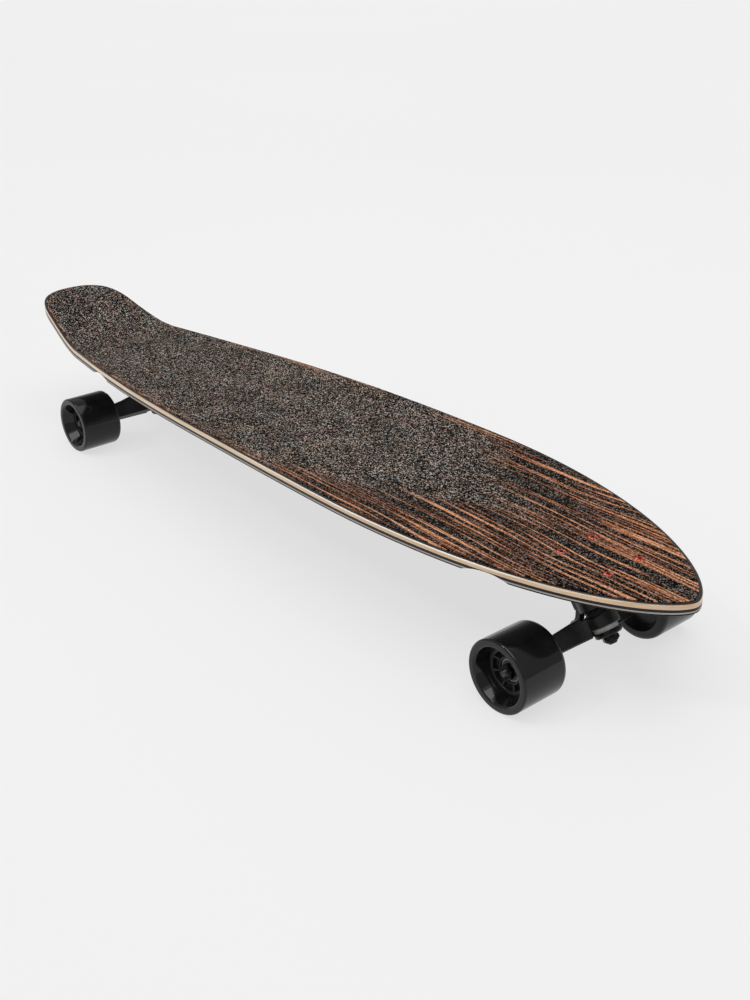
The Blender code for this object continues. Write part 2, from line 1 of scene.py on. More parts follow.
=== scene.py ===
# Looks for the kicktail longboard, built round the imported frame.
# Metres, +Z up, +X towards the nose. Lengths below are in millimetres.
import json
import math

import bmesh
import bpy
from mathutils import Matrix, Vector

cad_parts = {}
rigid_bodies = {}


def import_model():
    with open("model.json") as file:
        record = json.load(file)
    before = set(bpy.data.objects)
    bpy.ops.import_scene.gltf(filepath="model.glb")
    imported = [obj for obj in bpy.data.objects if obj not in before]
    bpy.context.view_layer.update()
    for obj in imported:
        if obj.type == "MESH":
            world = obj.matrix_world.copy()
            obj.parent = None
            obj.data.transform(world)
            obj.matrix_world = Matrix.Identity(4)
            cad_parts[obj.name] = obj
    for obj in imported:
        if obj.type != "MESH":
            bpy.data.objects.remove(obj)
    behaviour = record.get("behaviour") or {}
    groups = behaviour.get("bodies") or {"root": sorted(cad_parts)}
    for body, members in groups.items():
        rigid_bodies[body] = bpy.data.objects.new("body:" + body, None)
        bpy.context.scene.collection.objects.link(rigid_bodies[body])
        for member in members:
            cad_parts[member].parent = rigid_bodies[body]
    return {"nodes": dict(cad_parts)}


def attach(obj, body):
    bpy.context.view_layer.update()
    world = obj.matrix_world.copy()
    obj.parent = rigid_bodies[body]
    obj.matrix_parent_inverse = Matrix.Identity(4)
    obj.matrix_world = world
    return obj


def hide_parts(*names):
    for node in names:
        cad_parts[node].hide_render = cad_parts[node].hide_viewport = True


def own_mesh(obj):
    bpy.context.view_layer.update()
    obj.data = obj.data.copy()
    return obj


MM = 0.001

for stale in list(bpy.data.objects):
    bpy.data.objects.remove(stale, do_unlink=True)
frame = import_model()
bpy.context.view_layer.update()
NODES = frame["nodes"]

# ---- dimensions shared with the CAD ----
DECK_LENGTH, DECK_WIDTH, DECK_THICK = 1098.4, 236.0, 10.5
WIDEST_X = 192.5
TAIL_JOINT, TAIL_SLOPE = (-477.0, 63.4), 0.15
DECK_TOP_MID, CAMBER = 116.1, 1.6
CONCAVE_FRONT, CONCAVE_TAIL = 6.7, 1.5
KICK_START, KICK_RUN, KICK_RISE = -390.0, 175.0, 41.0
WELL_INBOARD, WELL_RADIUS, WELL_DEPTH = 41.0, 62.0, 5.2
GRIP_THICK, GRIP_MARGIN, GAP = 0.8, 3.6, 0.3
WHEELBASE, WHEELBASE_MID = 775.7, 48.2
WHEEL_R, WHEEL_IN, WHEEL_OUT = 35.0, 65.3, 117.2
CORE_R, BEARING_R, BEARING_W = 22.0, 11.0, 7.0
BEARING_IN, BEARING_OUT = 76.0, 93.0
AXLE_R, AXLE_END, AXLE_NUT = 4.0, 109.0, (101.0, 107.2)
TRUCK_HEIGHT, PLATE_THICK = 66.0, 5.0
BOLT_OFFSET, BOLT_X, BOLT_Y = 8.4, 53.98, 41.28
BOLT_R, BOLT_HEAD_R = 2.4, 4.6
KINGPIN_TILT, KINGPIN_P, KINGPIN_R = 39.0, 23.0, 4.75
STEER_TILT, RAKE = 34.2, 3.6
NOSE_R, CUP_R = 4.6, 6.6
FRONT_X = WHEELBASE_MID + WHEELBASE / 2
REAR_X = WHEELBASE_MID - WHEELBASE / 2
TRUCKS = (("front", FRONT_X, 1.0), ("rear", REAR_X, -1.0))


# ---- mesh helpers ----
def finish_mesh(bm, name, smooth=35.0):
    bmesh.ops.remove_doubles(bm, verts=bm.verts, dist=1e-7)
    bmesh.ops.recalc_face_normals(bm, faces=bm.faces)
    mesh = bpy.data.meshes.new(name)
    bm.to_mesh(mesh)
    bm.free()
    mesh.shade_smooth()
    mesh.set_sharp_from_angle(angle=math.radians(smooth))
    return mesh


def add(name, mesh, mat=None, matrix=None, helper=False):
    obj = bpy.data.objects.new(name, mesh)
    bpy.context.scene.collection.objects.link(obj)
    if mat is not None:
        mesh.materials.clear()
        mesh.materials.append(mat)
    if matrix is not None:
        obj.matrix_world = matrix
    if helper:
        obj.hide_render = True
        obj.display_type = "WIRE"
    return obj


def piece(name, mesh, mat, body, replaces=(), matrix=None):
    obj = add(name, mesh, mat, matrix)
    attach(obj, body)
    if replaces:
        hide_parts(*replaces)
    return obj


def bushing(name, mesh, mat, node, matrix):
    """A bushing piece riding on the deck, with a mesh of its own."""
    obj = piece(name, mesh, mat, "deck", [node], matrix)
    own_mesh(obj)
    return obj


def shift(x=0.0, y=0.0, z=0.0):
    return Matrix.Translation((x * MM, y * MM, z * MM))


def ring_points(r, z, sides, phase=0.0):
    return [(r * MM * math.cos(phase + math.tau * i / sides),
             r * MM * math.sin(phase + math.tau * i / sides), z * MM) for i in range(sides)]


def turned(profile, sides, closed=True, phase=0.0):
    """Body of revolution about Z from (radius, height) points in mm."""
    bm = bmesh.new()
    rings = []
    for r, z in profile:
        if r < 1e-6:
            rings.append([bm.verts.new((0, 0, z * MM))])
        else:
            rings.append([bm.verts.new(p) for p in ring_points(r, z, sides, phase)])
    pairs = list(zip(rings, rings[1:]))
    if closed and len(rings[0]) > 1 and len(rings[-1]) > 1:
        pairs.append((rings[-1], rings[0]))
    for a, b in pairs:
        for i in range(sides):
            j = (i + 1) % sides
            quad = []
            for v in (a[i % len(a)], a[j % len(a)], b[j % len(b)], b[i % len(b)]):
                if v not in quad:
                    quad.append(v)
            if len(quad) > 2:
                bm.faces.new(quad)
    return bm


def rounded(points, radius, steps=4, closed=True):
    """Profile with each corner rounded. radius is one number, or one per point."""
    count = len(points)
    radii = radius if isinstance(radius, (list, tuple)) else [radius] * count
    out = []
    for i, (x, y) in enumerate(points):
        r = radii[i]
        if r <= 0 or (not closed and i in (0, count - 1)):
            out.append((x, y))
            continue
        p, here, n = Vector(points[i - 1]), Vector((x, y)), Vector(points[(i + 1) % count])
        a, b = p - here, n - here
        cut = min(r, 0.45 * a.length, 0.45 * b.length)
        start, end = here + a.normalized() * cut, here + b.normalized() * cut
        for k in range(steps + 1):
            t = k / steps
            q = start * (1 - t) ** 2 + here * 2 * t * (1 - t) + end * t * t
            out.append((q.x, q.y))
    return out


# ---- deck shape ----
def smoothstep(t):
    t = min(max(t, 0.0), 1.0)
    return t * t * (3 - 2 * t)


def bezier(p0, p1, p2, p3, t):
    s = 1 - t
    return tuple(s**3 * a + 3 * s * s * t * b + 3 * s * t * t * c + t**3 * d
                 for a, b, c, d in zip(p0, p1, p2, p3))


def deck_outline(counts=(26, 44, 44)):
    half, wide = DECK_LENGTH / 2, DECK_WIDTH / 2
    jx, jy = TAIL_JOINT
    spans = (
        ((-half, 0), (-half, 56.0), (jx - 24.4, jy - 24.4 * TAIL_SLOPE), (jx, jy)),
        ((jx, jy), (jx + 164.0, jy + 164.0 * TAIL_SLOPE), (WIDEST_X - 356.0, wide), (WIDEST_X, wide)),
        ((WIDEST_X, wide), (WIDEST_X + 263.0, wide), (half, 25.3), (half, 0)),
    )
    points = [(-half, 0.0)]
    for span, count in zip(spans, counts):
        for i in range(1, count + 1):
            t = i / count
            if span[0][1] == 0:
                t = t ** 1.25
            elif span[3][1] == 0:
                t = 1 - (1 - t) ** 1.35
            points.append(bezier(*span, t))
    return points


def top_height(x, y):
    along = (x - WHEELBASE_MID) / (WHEELBASE / 2 + BOLT_OFFSET)
    z = DECK_TOP_MID - CAMBER * along * along
    z += KICK_RISE * smoothstep((KICK_START - x) / KICK_RUN)
    concave = CONCAVE_TAIL + (CONCAVE_FRONT - CONCAVE_TAIL) * smoothstep((x + 350.0) / 400.0)
    return z + concave * (2 * y / DECK_WIDTH) ** 2


def inset_outline(outline, distance):
    moved = []
    last = len(outline) - 1
    for i, (x, y) in enumerate(outline):
        if i in (0, last):
            moved.append((x - math.copysign(distance, x), 0.0))
            continue
        (ax, ay), (bx, by) = outline[i - 1], outline[i + 1]
        tx, ty = bx - ax, by - ay
        size = math.hypot(tx, ty)
        moved.append((x + ty / size * distance, y - tx / size * distance))
    return moved


def sheet_body(name, rings, columns):
    """Closed body of deck plan shape, from (inset, drop) rings, top to bottom."""
    outline = deck_outline()
    last = len(outline) - 1
    bm = bmesh.new()
    loops = []
    for distance, drop in rings:
        points = inset_outline(outline, distance)
        z = [top_height(x, y) - drop for x, y in points]
        right = [bm.verts.new((x * MM, -y * MM, h * MM)) for (x, y), h in zip(points, z)]
        left = [right[i] if i in (0, last) else
                bm.verts.new((points[i][0] * MM, points[i][1] * MM, z[i] * MM))
                for i in range(last + 1)]
        loops.append((points, right, left, drop))
    for (_, ra, la, _), (_, rb, lb, _) in zip(loops, loops[1:]):
        for i in range(last):
            for a, b in ((ra, rb), (la, lb)):
                quad = [a[i], a[i + 1], b[i + 1], b[i]]
                bm.faces.new(quad if a is ra else list(reversed(quad)))
    for points, right, left, drop in (loops[0], loops[-1]):
        rows = []
        for i, (x, y) in enumerate(points):
            if i in (0, last):
                rows.append([right[i]])
                continue
            row = [right[i]]
            for c in range(1, columns):
                across = y * (2 * c / columns - 1)
                row.append(bm.verts.new((x * MM, across * MM, (top_height(x, across) - drop) * MM)))
            row.append(left[i])
            rows.append(row)
        for a, b in zip(rows, rows[1:]):
            for c in range(columns):
                quad = []
                for v in (a[min(c, len(a) - 1)], a[min(c + 1, len(a) - 1)],
                          b[min(c + 1, len(b) - 1)], b[min(c, len(b) - 1)]):
                    if v not in quad:
                        quad.append(v)
                if len(quad) > 2:
                    bm.faces.new(quad)
    return finish_mesh(bm, name, 40.0)


def cut(obj, cutter):
    """Booleans applied at once, so the piece's own mesh is the final one."""
    mod = obj.modifiers.new("cut", "BOOLEAN")
    mod.object = cutter
    mod.operation = "DIFFERENCE"
    mod.solver = "EXACT"
    graph = bpy.context.evaluated_depsgraph_get()
    made = bpy.data.meshes.new_from_object(obj.evaluated_get(graph), depsgraph=graph)
    obj.modifiers.clear()
    obj.data = made
    made.shade_smooth()
    made.set_sharp_from_angle(angle=math.radians(32))


def joined(name, parts):
    """One mesh of several separate closed bodies."""
    bm = bmesh.new()
    for part, matrix in parts:
        mesh = bpy.data.meshes.new("part")
        part.to_mesh(mesh)
        part.free()
        mesh.transform(matrix)
        bm.from_mesh(mesh)
        bpy.data.meshes.remove(mesh)
    return finish_mesh(bm, name, 30.0)


# ---- materials ----
class Nodes:
    """Short hand for a material's node tree."""

    def __init__(self, name):
        self.mat = bpy.data.materials.new(name)
        self.mat.use_nodes = True
        self.tree = self.mat.node_tree
        self.shader = self.tree.nodes["Principled BSDF"]

    def new(self, kind, **inputs):
        node = self.tree.nodes.new("ShaderNode" + kind)
        for key, value in inputs.items():
            if hasattr(node, key) and not isinstance(getattr(node, key), bpy.types.bpy_prop_collection):
                setattr(node, key, value)
        return node

    def link(self, a, b):
        self.tree.links.new(a, b)

    def coords(self, scale=(1, 1, 1)):
        texture = self.new("TexCoord")
        mapping = self.new("Mapping")
        mapping.inputs["Scale"].default_value = scale
        self.link(texture.outputs["Object"], mapping.inputs["Vector"])
        return mapping.outputs["Vector"]

    def noise(self, vector, scale=1.0, detail=3.0, rough=0.5, distortion=0.0):
        node = self.new("TexNoise")
        node.inputs["Scale"].default_value = scale
        node.inputs["Detail"].default_value = detail
        node.inputs["Roughness"].default_value = rough
        node.inputs["Distortion"].default_value = distortion
        self.link(vector, node.inputs["Vector"])
        return node.outputs["Fac"]

    def cells(self, vector, scale=1.0):
        node = self.new("TexVoronoi")
        node.inputs["Scale"].default_value = scale
        self.link(vector, node.inputs["Vector"])
        return node

    def math(self, operation, a, b=None, clamp=False):
        node = self.new("Math")
        node.operation = operation
        node.use_clamp = clamp
        for socket, value in ((node.inputs[0], a), (node.inputs[1], b)):
            if value is None:
                continue
            if isinstance(value, (int, float)):
                socket.default_value = value
            else:
                self.link(value, socket)
        return node.outputs[0]

    def ranged(self, value, low, high, to_low=0.0, to_high=1.0, smooth=True):
        node = self.new("MapRange")
        node.interpolation_type = "SMOOTHSTEP" if smooth else "LINEAR"
        self.link(value, node.inputs["Value"])
        for key, number in (("From Min", low), ("From Max", high), ("To Min", to_low), ("To Max", to_high)):
            node.inputs[key].default_value = number
        return node.outputs["Result"]

    def ramp(self, value, stops, mode="LINEAR"):
        node = self.new("ValToRGB")
        node.color_ramp.interpolation = mode
        elements = node.color_ramp.elements
        while len(elements) < len(stops):
            elements.new(0.5)
        for element, (at, color) in zip(elements, stops):
            element.position = at
            element.color = (*color, 1.0)
        self.link(value, node.inputs["Fac"])
        return node.outputs["Color"]

    def mix(self, factor, a, b):
        node = self.new("Mix")
        node.data_type = "RGBA"
        for socket, value in ((node.inputs[0], factor), (node.inputs[6], a), (node.inputs[7], b)):
            if isinstance(value, (int, float)):
                socket.default_value = value
            elif isinstance(value, tuple):
                socket.default_value = (*value, 1.0)
            else:
                self.link(value, socket)
        return node.outputs[2]

    def split(self, vector):
        node = self.new("SeparateXYZ")
        self.link(vector, node.inputs[0])
        return node.outputs

    def join(self, x, y, z):
        node = self.new("CombineXYZ")
        for socket, value in zip(node.inputs, (x, y, z)):
            if isinstance(value, (int, float)):
                socket.default_value = value
            else:
                self.link(value, socket)
        return node.outputs[0]

    def bump(self, height, distance, strength=1.0):
        node = self.new("Bump")
        node.inputs["Strength"].default_value = strength
        node.inputs["Distance"].default_value = distance
        self.link(height, node.inputs["Height"])
        self.link(node.outputs["Normal"], self.shader.inputs["Normal"])

    def set(self, **values):
        names = {"color": "Base Color", "rough": "Roughness", "metal": "Metallic", "coat": "Coat Weight",
                 "coat_rough": "Coat Roughness", "spec": "Specular IOR Level", "ior": "IOR"}
        for key, value in values.items():
            socket = self.shader.inputs[names[key]]
            if isinstance(value, tuple):
                socket.default_value = (*value, 1.0)
            elif isinstance(value, (int, float)):
                socket.default_value = value
            else:
                self.link(value, socket)
        return self.mat


def streaks(n, vector):
    """Dark ebony veneer with thin lengthwise orange-brown lines: (colour, height)."""
    x, y, _ = n.split(vector)
    wander = n.noise(n.join(n.math("MULTIPLY", x, 3.2), n.math("MULTIPLY", y, 9.0), 0.0), 1.0, 2.0)
    y2 = n.math("ADD", y, n.math("MULTIPLY", n.math("SUBTRACT", wander, 0.5), 0.030))
    fine = n.noise(n.join(n.math("MULTIPLY", x, 5.0), n.math("MULTIPLY", y2, 290.0), 0.0), 1.0, 1.6, 0.55)
    hair = n.noise(n.join(n.math("MULTIPLY", x, 9.0), n.math("MULTIPLY", y2, 900.0), 9.0), 1.0, 1.5, 0.5)
    broad = n.noise(n.join(n.math("MULTIPLY", x, 1.6), n.math("MULTIPLY", y2, 62.0), 4.0), 1.0, 2.0, 0.5)
    line = n.math("ADD", n.math("MULTIPLY", fine, 0.70), n.math("MULTIPLY", broad, 0.14))
    line = n.math("ADD", line, n.math("MULTIPLY", hair, 0.24))
    color = n.ramp(line, [(0.53, (0.0015, 0.001, 0.001)), (0.558, (0.030, 0.011, 0.007)),
                          (0.578, (0.20, 0.070, 0.032)), (0.608, (0.52, 0.185, 0.078)),
                          (0.66, (0.80, 0.39, 0.20))])
    return color, line


def veneer(name, gain=1.0):
    n = Nodes(name)
    color, line = streaks(n, n.coords())
    color = n.mix(gain, (0.004, 0.0035, 0.0035), color)
    n.bump(line, 0.00006, 0.5)
    rough = n.ranged(n.noise(n.coords((40, 220, 40)), 1.0, 3.0), 0.3, 0.7, 0.26, 0.40)
    return n.set(color=color, rough=rough, coat=0.55, coat_rough=0.12, spec=0.5)


def margin():
    """Bare lacquered rim of the dark veneer, outside the grit."""
    n = Nodes("veneer_margin")
    grain = n.noise(n.coords((22, 500, 500)), 1.0, 3.0, 0.6)
    drift = n.noise(n.coords((12, 30, 30)), 1.0, 2.0)
    color = n.ramp(grain, [(0.35, (0.004, 0.004, 0.005)), (0.62, (0.012, 0.009, 0.009)), (0.75, (0.035, 0.016, 0.010))])
    n.bump(grain, 0.00004, 0.4)
    return n.set(color=color, rough=n.ranged(drift, 0.3, 0.7, 0.16, 0.26), coat=0.30, coat_rough=0.08, spec=0.35)


def ply_edge(name, dark, light, figure, rough=(0.32, 0.5), coat=0.45, spec=0.5):
    """Edge of one ply: fibres run lengthwise, with pores and slow colour drift."""
    n = Nodes(name)
    grain = n.noise(n.coords((16, 60, 1300)), 1.0, 4.0, 0.6)
    pores = n.noise(n.coords((230, 900, 3200)), 1.0, 2.0, 0.5)
    drift = n.noise(n.coords((5, 5, 30)), 1.0, 2.0)
    value = n.math("ADD", n.math("MULTIPLY", grain, 0.55), n.math("MULTIPLY", drift, 0.45))
    color = n.ramp(value, [(0.34, dark), (0.66, light)])
    dots = n.ranged(pores, 0.60, 0.72)
    color = n.mix(n.math("MULTIPLY", dots, figure), color, tuple(c * 0.35 for c in dark))
    n.bump(grain, 0.00008, 0.5)
    return n.set(color=color, rough=n.ranged(drift, 0.3, 0.7, *rough), coat=coat, coat_rough=0.15, spec=spec)


def ply_edge_painted_highlight():
    """Top lamination of the maple: tan wood, with a painted highlight, a cream band over the centre of the board's
    length that stands in for light caught by the lacquered edge.
    """
    n = Nodes("ply_maple_light")
    x = n.split(n.coords())[0]
    grain = n.noise(n.coords((16, 60, 1300)), 1.0, 4.0, 0.6)
    tan = n.ramp(grain, [(0.34, (0.52, 0.33, 0.19)), (0.66, (0.86, 0.67, 0.47))])
    highlight_cream = n.ramp(grain, [(0.34, (0.80, 0.70, 0.58)), (0.66, (0.99, 0.94, 0.88))])
    # painted highlight: the cream is mixed in only over the centre of the board's length
    highlight_band = n.math("MULTIPLY", n.ranged(x, -0.05, 0.20), n.ranged(x, 0.47, 0.38))
    n.bump(grain, 0.00006, 0.4)
    return n.set(color=n.mix(highlight_band, tan, highlight_cream), rough=n.ranged(grain, 0.3, 0.7, 0.20, 0.32), coat=0.8, coat_rough=0.10)


def half_width_at(x):
    outline = deck_outline((60, 60, 60))
    for (ax, ay), (bx, by) in zip(outline, outline[1:]):
        if ax <= x <= bx and bx > ax:
            return ay + (by - ay) * (x - ax) / (bx - ax)
    return 0.0


def grit():
    """Clear grit over the veneer: each grain is a cell with its own brightness."""
    n = Nodes("grit")
    plain = n.coords()
    x, y, _ = n.split(plain)
    wood, _ = streaks(n, plain)
    # how far towards the edge a point lies, from 0 on the centre line to 1
    curve = n.new("FloatCurve")
    points = curve.mapping.curves[0].points
    half = DECK_LENGTH / 2
    stations = [i / 24 for i in range(25)]
    while len(points) < len(stations):
        points.new(0.5, 0.5)
    for point, t in zip(points, stations):
        point.location = (t, half_width_at(-half + 2 * half * t) / (DECK_WIDTH / 2))
    curve.mapping.update()
    n.link(n.ranged(x, -half * MM, half * MM, 0.0, 1.0, smooth=False), curve.inputs["Value"])
    width = n.math("MAXIMUM", n.math("MULTIPLY", curve.outputs[0], DECK_WIDTH / 2 * MM), 0.004)
    away = n.math("DIVIDE", n.math("ABSOLUTE", y), width)
    # the veneer shows at the nose, round a tongue of bare grit, and along the edges
    wave = n.noise(n.coords((9, 26, 1)), 1.0, 3.0)
    left = n.math("MULTIPLY", n.math("MAXIMUM", y, 0.0), 1.3)
    right = n.math("MULTIPLY", n.math("MAXIMUM", n.math("MULTIPLY", y, -1.0), 0.0), 2.1)
    reach = n.math("ADD", n.math("ADD", x, n.math("ADD", left, right)),
                   n.math("MULTIPLY", n.math("SUBTRACT", wave, 0.5), 0.16))
    nose = n.ranged(reach, 0.29, 0.39)
    near = n.ranged(n.math("ADD", away, n.math("MULTIPLY", wave, 0.20)), 0.95, 1.08)
    seen = n.math("MAXIMUM", nose, n.math("MULTIPLY", near, 0.5))
    # grains of two sizes
    fine = n.cells(plain, 1100.0)
    coarse = n.cells(plain, 680.0)
    value = n.split(fine.outputs["Color"])[0]
    tint = n.split(fine.outputs["Color"])[1]
    cloud = n.noise(n.coords((16, 26, 1)), 1.0, 3.0)
    level = n.math("ADD", n.math("MULTIPLY", value, 0.56), n.math("MULTIPLY", n.split(coarse.outputs["Color"])[0], 0.44))
    level = n.math("ADD", level, n.math("MULTIPLY", n.math("SUBTRACT", cloud, 0.5), 0.20))
    grey = n.ramp(level, [(0.42, (0.0008, 0.0007, 0.0006)), (0.52, (0.008, 0.007, 0.006)), (0.60, (0.040, 0.035, 0.031)),
                          (0.72, (0.225, 0.20, 0.18)), (0.86, (0.66, 0.60, 0.55))])
    # the veneer below lends the grit slow, faint changes of hue
    hue = n.noise(n.coords((22, 70, 1)), 1.0, 2.0)
    cast = n.ramp(hue, [(0.34, (0.86, 0.93, 1.0)), (0.46, (1.0, 1.0, 0.96)), (0.56, (1.0, 0.93, 0.86)), (0.66, (1.0, 0.86, 0.88))])
    warm = n.mix(n.ranged(tint, 0.62, 0.95), (1.0, 1.0, 1.0), (0.92, 0.68, 0.55))
    tinted = n.new("Mix")
    tinted.data_type = "RGBA"
    tinted.blend_type = "MULTIPLY"
    tinted.inputs[0].default_value = 1.0
    n.link(grey, tinted.inputs[6])
    n.link(warm, tinted.inputs[7])
    hued = n.new("Mix")
    hued.data_type = "RGBA"
    hued.blend_type = "MULTIPLY"
    hued.inputs[0].default_value = 1.0
    n.link(tinted.outputs[2], hued.inputs[6])
    n.link(cast, hued.inputs[7])
    bright = n.ranged(level, 0.60, 0.80)
    over_wood = n.mix(n.math("MULTIPLY", bright, 0.26), wood, (0.80, 0.66, 0.56))
    dark_grain = n.ranged(level, 0.55, 0.42)
    over_wood = n.mix(n.math("MULTIPLY", dark_grain, 0.58), over_wood, (0.001, 0.0008, 0.0008))
    color = n.mix(seen, hued.outputs[2], over_wood)
    lump = n.math("SUBTRACT", 1.0, fine.outputs["Distance"])
    n.bump(n.math("ADD", lump, n.math("MULTIPLY", value, 0.5)), 0.0004, 0.65)
    rough = n.ranged(value, 0.2, 1.0, 0.85, 0.55)
    return n.set(color=color, rough=rough, spec=0.03)


def urethane(name="urethane_black", base=(0.004, 0.004, 0.0043), rough=(0.05, 0.11)):
    n = Nodes(name)
    haze = n.noise(n.coords((60, 60, 60)), 1.0, 4.0, 0.6)
    marks = n.noise(n.coords((900, 900, 120)), 1.0, 2.0)
    color = n.mix(n.ranged(haze, 0.35, 0.75), base, tuple(c * 1.8 for c in base))
    n.bump(marks, 0.00002, 0.4)
    return n.set(color=color, rough=n.ranged(haze, 0.3, 0.7, *rough), coat=0.0, spec=0.34)


def moulded(name, base, rough, grain=1500.0, coat=0.0, spec=0.5):
    """Moulded plastic or rubber with a fine eroded texture."""
    n = Nodes(name)
    texture = n.noise(n.coords((grain, grain, grain)), 1.0, 3.0, 0.6)
    drift = n.noise(n.coords((45, 45, 45)), 1.0, 2.0)
    color = n.mix(n.ranged(drift, 0.3, 0.7), base, tuple(min(1.0, c * 1.5) for c in base))
    n.bump(texture, 0.00004, 0.5)
    return n.set(color=color, rough=n.ranged(texture, 0.3, 0.7, *rough), coat=coat, spec=spec)


def cast_black():
    """Satin black coat on a casting, with slight orange peel and a slow drift in tone."""
    n = Nodes("truck_coat")
    peel = n.noise(n.coords((420, 420, 420)), 1.0, 3.0, 0.55)
    drift = n.noise(n.coords((38, 38, 38)), 1.0, 3.0)
    color = n.mix(n.ranged(drift, 0.35, 0.7), (0.006, 0.006, 0.0065), (0.014, 0.0135, 0.014))
    n.bump(peel, 0.00005, 0.45)
    return n.set(color=color, rough=n.ranged(drift, 0.3, 0.7, 0.24, 0.36), spec=0.35)


def metal(name, low, high, rough, scale=(400, 400, 400), bump=0.00003):
    n = Nodes(name)
    grain = n.noise(n.coords(scale), 1.0, 4.0, 0.6)
    drift = n.noise(n.coords((90, 90, 90)), 1.0, 2.0)
    color = n.mix(n.ranged(grain, 0.3, 0.7), low, high)
    n.bump(grain, bump, 0.5)
    return n.set(color=color, rough=n.ranged(drift, 0.3, 0.7, *rough), metal=1.0)


def worn_head(name, stops, metallic):
    """Bolt head whose finish is broken up by stray grains of grit."""
    n = Nodes(name)
    fleck = n.split(n.cells(n.coords(), 700.0).outputs["Color"])[0]
    n.bump(fleck, 0.0002, 0.5)
    return n.set(color=n.ramp(fleck, stops), rough=n.ranged(fleck, 0.2, 0.9, 0.5, 0.3), metal=metallic, spec=0.3)


M = {
    "margin": margin(),
    "bottom": veneer("veneer_bottom", 0.10),
    # painted highlight along the upper maple edge
    "maple_light": ply_edge_painted_highlight(),
    "maple": ply_edge("ply_maple", (0.50, 0.31, 0.17), (0.86, 0.67, 0.46), 0.25),
    "dyed": ply_edge("ply_dark", (0.005, 0.0035, 0.004), (0.016, 0.012, 0.012), 0.5, coat=0.1, spec=0.25),
    "pale": ply_edge("ply_grey", (0.25, 0.225, 0.20), (0.42, 0.38, 0.34), 0.3, coat=0.2),
    "under": ply_edge("ply_under", (0.003, 0.0025, 0.003), (0.008, 0.006, 0.006), 0.4, coat=0.0, spec=0.12),
    "grit": grit(),
    "urethane": urethane(),
    "core": moulded("wheel_core_plastic", (0.005, 0.005, 0.0055), (0.20, 0.34), 1100.0, 0.0, 0.26),
    "riser": moulded("riser_rubber", (0.012, 0.012, 0.012), (0.55, 0.75)),
    "cup": moulded("cup_rubber", (0.015, 0.015, 0.015), (0.4, 0.6)),
    "bushing": urethane("bushing_grey", (0.24, 0.24, 0.225), (0.16, 0.30)),
    "bushing_black": moulded("bushing_dark", (0.006, 0.006, 0.0065), (0.40, 0.55), 900.0, 0.0, 0.12),
    "truck": cast_black(),
    "steel": metal("steel_plain", (0.34, 0.34, 0.35), (0.52, 0.52, 0.53), (0.22, 0.36), (300, 300, 1500)),
    "dark_steel": metal("steel_blackened", (0.025, 0.025, 0.026), (0.075, 0.075, 0.077), (0.28, 0.42)),
    "bearing": metal("bearing_steel", (0.10, 0.10, 0.105), (0.24, 0.24, 0.245), (0.18, 0.30), (700, 700, 700)),
    "shield": moulded("bearing_shield", (0.010, 0.010, 0.010), (0.3, 0.45), 1400.0),
    "black_steel": metal("steel_black", (0.012, 0.012, 0.013), (0.035, 0.034, 0.035), (0.26, 0.42)),
    "red": worn_head("bolt_red", [(0.25, (0.03, 0.006, 0.005)), (0.42, (0.48, 0.035, 0.02)), (0.75, (0.70, 0.08, 0.04)),
                                  (0.95, (0.75, 0.45, 0.38))], 0.35),
    "head": worn_head("bolt_head_black", [(0.30, (0.003, 0.003, 0.003)), (0.60, (0.05, 0.045, 0.04)),
                                          (0.90, (0.42, 0.37, 0.33))], 0.0),
    "nylon": moulded("nut_nylon", (0.02, 0.02, 0.02), (0.4, 0.55), 900.0),
}

# ---- deck: five glued plies under the grit ----
bolt_spots = []
for end, axle_x, out in TRUCKS:
    for sx in (-1, 1):
        for sy in (-1, 1):
            bolt_spots.append((end, axle_x + out * (BOLT_OFFSET + sx * BOLT_X / 2), sy * BOLT_Y / 2))

wells = []
for end, axle_x, out in TRUCKS:
    for side in (-1, 1):
        x = axle_x - out * WELL_INBOARD
        edge_y = 92.0 if end == "front" else 91.0
        bottom = top_height(x, edge_y) - DECK_THICK
        scoop = turned([(0, -34), (WELL_RADIUS - 26, -34), (WELL_RADIUS - 16, -26), (WELL_RADIUS - 8, -18.5),
                        (WELL_RADIUS - 3, -12), (WELL_RADIUS - 0.9, -6), (WELL_RADIUS, 0),
                        (WELL_RADIUS, 40), (0, 40)], 160)
        wells.append((scoop, shift(x, side * edge_y, bottom + WELL_DEPTH - WELL_RADIUS)
                      @ Matrix.Rotation(-side * math.pi / 2, 4, "X")))
wells = add("cut_wells", joined("cut_wells", wells), helper=True)

holes, wide = [], []
for _, x, y in bolt_spots:
    top = top_height(x, y)
    holes.append((turned([(0, top + 6), (BOLT_HEAD_R + 0.35, top + 6), (BOLT_HEAD_R + 0.35, top - 0.1),
                          (BOLT_R + 0.35, top - 2.9), (BOLT_R + 0.35, top - 20), (0, top - 20)], 32), shift(x, y)))
    wide.append((turned([(0, top + 6), (BOLT_HEAD_R + 0.4, top + 6), (BOLT_HEAD_R + 0.4, top - 3),
                         (0, top - 3)], 32), shift(x, y)))
holes = add("cut_holes", joined("cut_holes", holes), helper=True)
wide = add("cut_wide", joined("cut_wide", wide), helper=True)

ROUND = 1.4


def edge_inset(drop):
    """Inset of the deck's side at a drop below the top, its corners rounded."""
    above = drop < DECK_THICK / 2
    d, radius = (drop, ROUND) if above else (DECK_THICK - drop, 0.6)
    if d >= radius:
        return 0.0
    t = 1 - d / radius
    return (1.8 if above else 0.6) * (1 - math.sqrt(max(0.0, 1 - t * t)))
